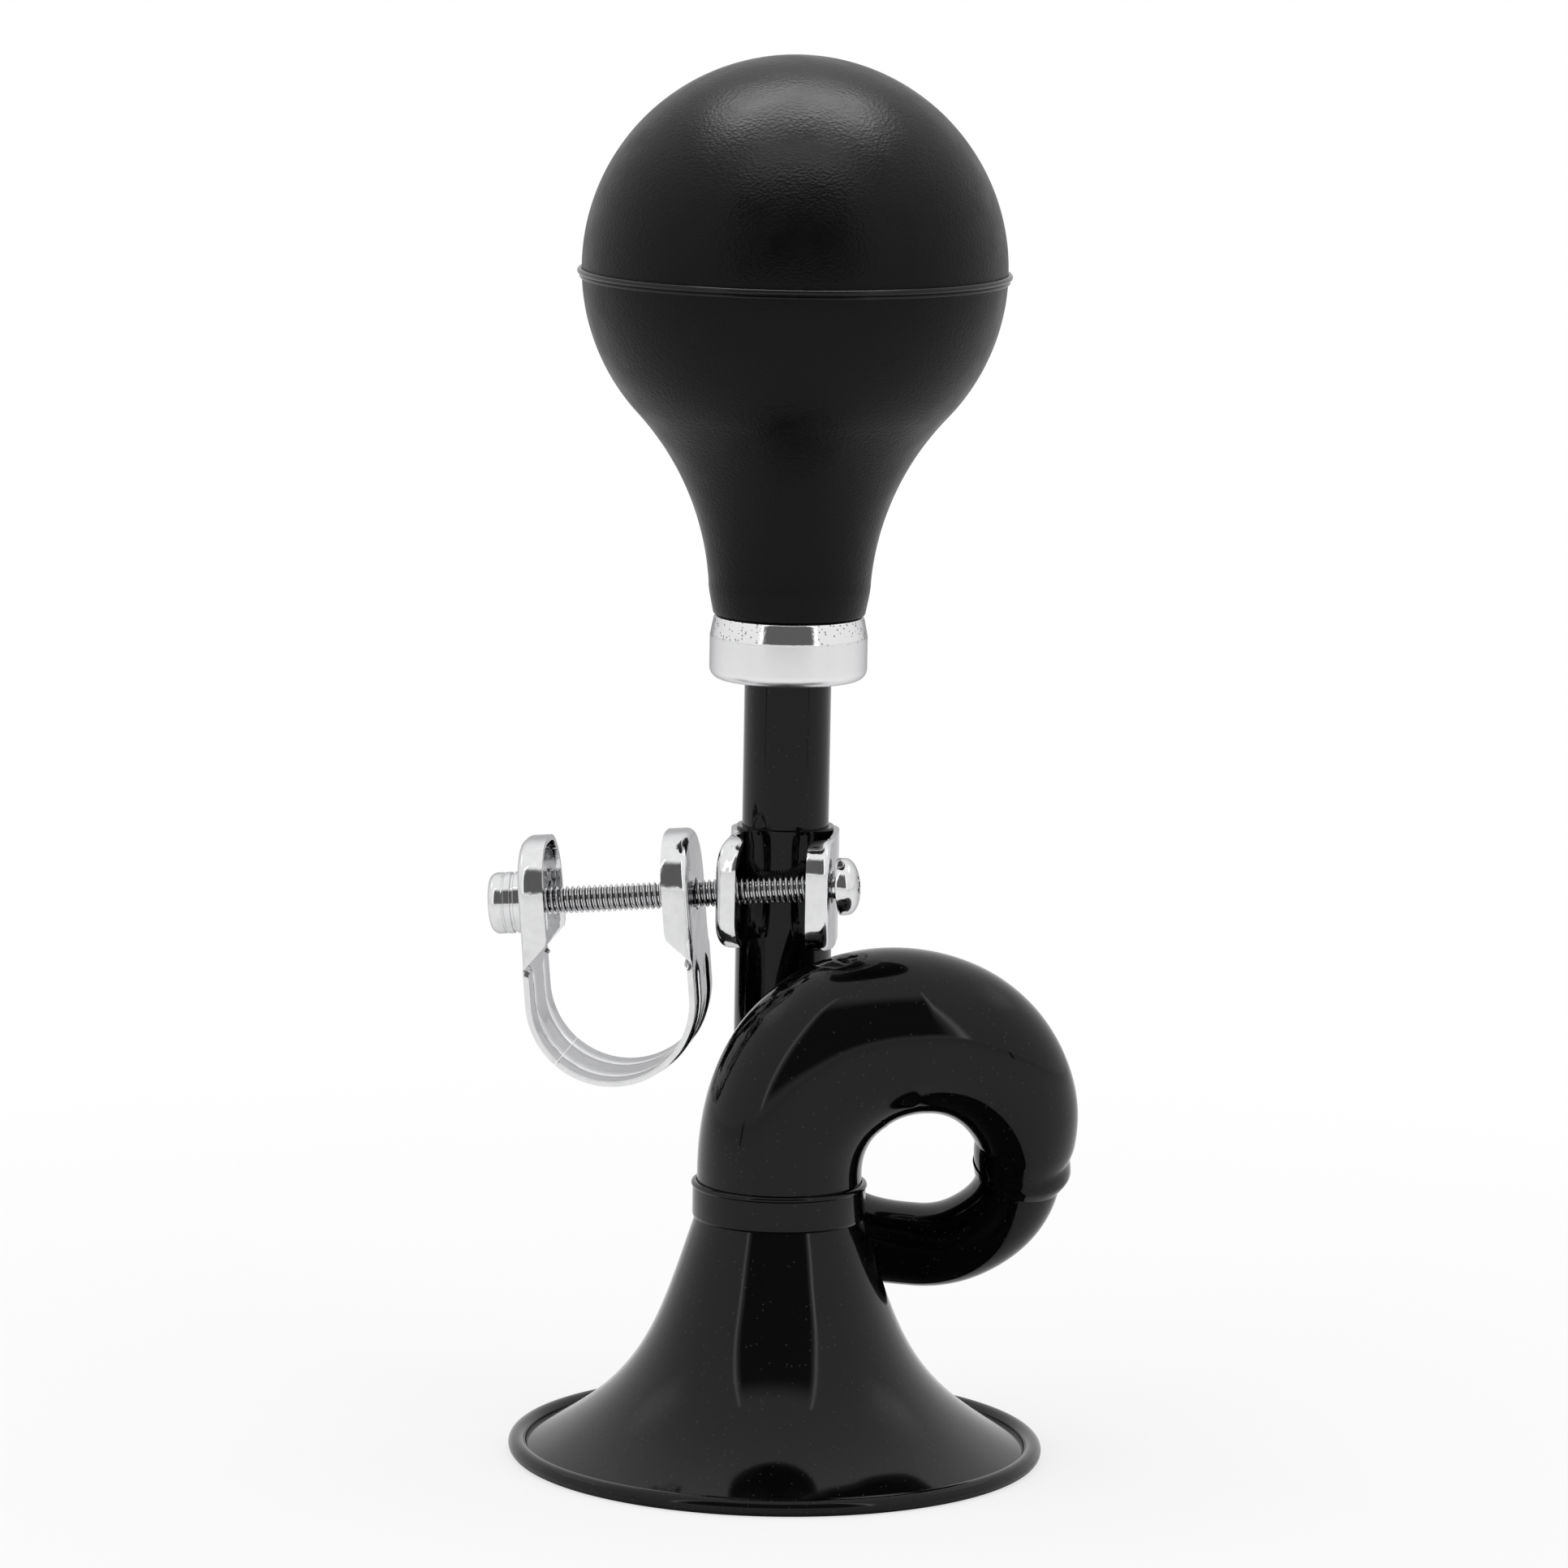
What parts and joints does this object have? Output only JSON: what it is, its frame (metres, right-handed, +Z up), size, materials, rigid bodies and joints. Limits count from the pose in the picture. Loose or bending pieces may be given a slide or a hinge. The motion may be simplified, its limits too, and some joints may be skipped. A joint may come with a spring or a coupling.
{
  "type": "bicycle bulb horn",
  "caption": "Bulb horn for a handlebar: black flared bell standing on its rim, coiled tube, straight stem, rubber bulb on top and a plated double clamp with a cross screw.",
  "frame": {"origin": "centre of the bell's mouth, on the plane that its rolled rim stands on", "axes": "+Z up along the bell towards the bulb, +X to the right as seen from the front, +Y away from the viewer"},
  "size_m": [0.0854, 0.0886, 0.1977],
  "materials": {
    "enamel": "gloss",
    "wire": "satin",
    "collar_metal": "satin",
    "plating": "polished",
    "bulb_rubber": "matte",
    "bush_rubber": "matte",
    "brass": "satin"
  },
  "bodies": {
    "horn": {"bell": "enamel", "rim_wire": "wire", "upper_bend": "enamel", "lower_bend": "enamel", "stem_tube": "enamel", "collar": "collar_metal", "reed_bush": "bush_rubber", "reed_tube": "brass", "reed_wedge": "brass", "bulb_neck": "bulb_rubber", "bulb_skirt": "bulb_rubber"},
    "bulb": {"bulb_dome": "bulb_rubber", "seam_ring": "bulb_rubber"},
    "reed": {"reed_tongue": "brass"},
    "clip": {"stem_clip": "plating"},
    "screw": {"clamp_screw": "plating"},
    "nut": {"cap_nut": "plating"},
    "strap": {"strap_inner_half": "plating"},
    "strap_end": {"strap_outer_half": "plating"}
  },
  "joints": [
    {"name": "bulb_squeeze", "type": "slide", "parent": "horn", "child": "bulb", "axis": [0, 0, -1], "range_m": [0, 0.016], "stiffness_N_per_m": 900, "deforming": ["bulb_skirt"]},
    {"name": "reed_flex", "type": "hinge", "parent": "horn", "child": "reed", "pos_m": [0, 0.01777, 0.12584], "axis": [1, 0, 0], "range_deg": [-1.4, 0.8], "stiffness_Nm_per_rad": 0.002},
    {"name": "clip_swivel", "type": "hinge", "parent": "horn", "child": "clip", "pos_m": [0, 0.01962, 0.0791], "axis": [0, 0, 1], "range_deg": [-155, 12]},
    {"name": "strap_swing", "type": "hinge", "parent": "clip", "child": "strap", "pos_m": [-0.02456, 0.01305, 0.07754], "axis": [0.9883, -0.1249, 0.0872], "continuous": true},
    {"name": "screw_turn", "type": "hinge", "parent": "clip", "child": "screw", "pos_m": [-0.0012, 0.0101, 0.0796], "axis": [-0.9883, 0.1249, -0.0872], "range_deg": [0, 1080]},
    {"name": "nut_travel", "type": "slide", "parent": "clip", "child": "nut", "axis": [0.9883, -0.1249, 0.0872], "range_m": [0, 0.0024]},
    {"name": "strap_close", "type": "hinge", "parent": "strap", "child": "strap_end", "pos_m": [-0.03091, 0.01385, 0.05495], "axis": [0.1253, 0.9921, 0], "range_deg": [0, 8.3]}
  ],
  "couplings": [
    {"joint": "nut_travel", "follows": "screw_turn", "m_per_rad": 0.00012573},
    {"joint": "strap_close", "follows": "screw_turn", "ratio": 0.0075333}
  ]
}
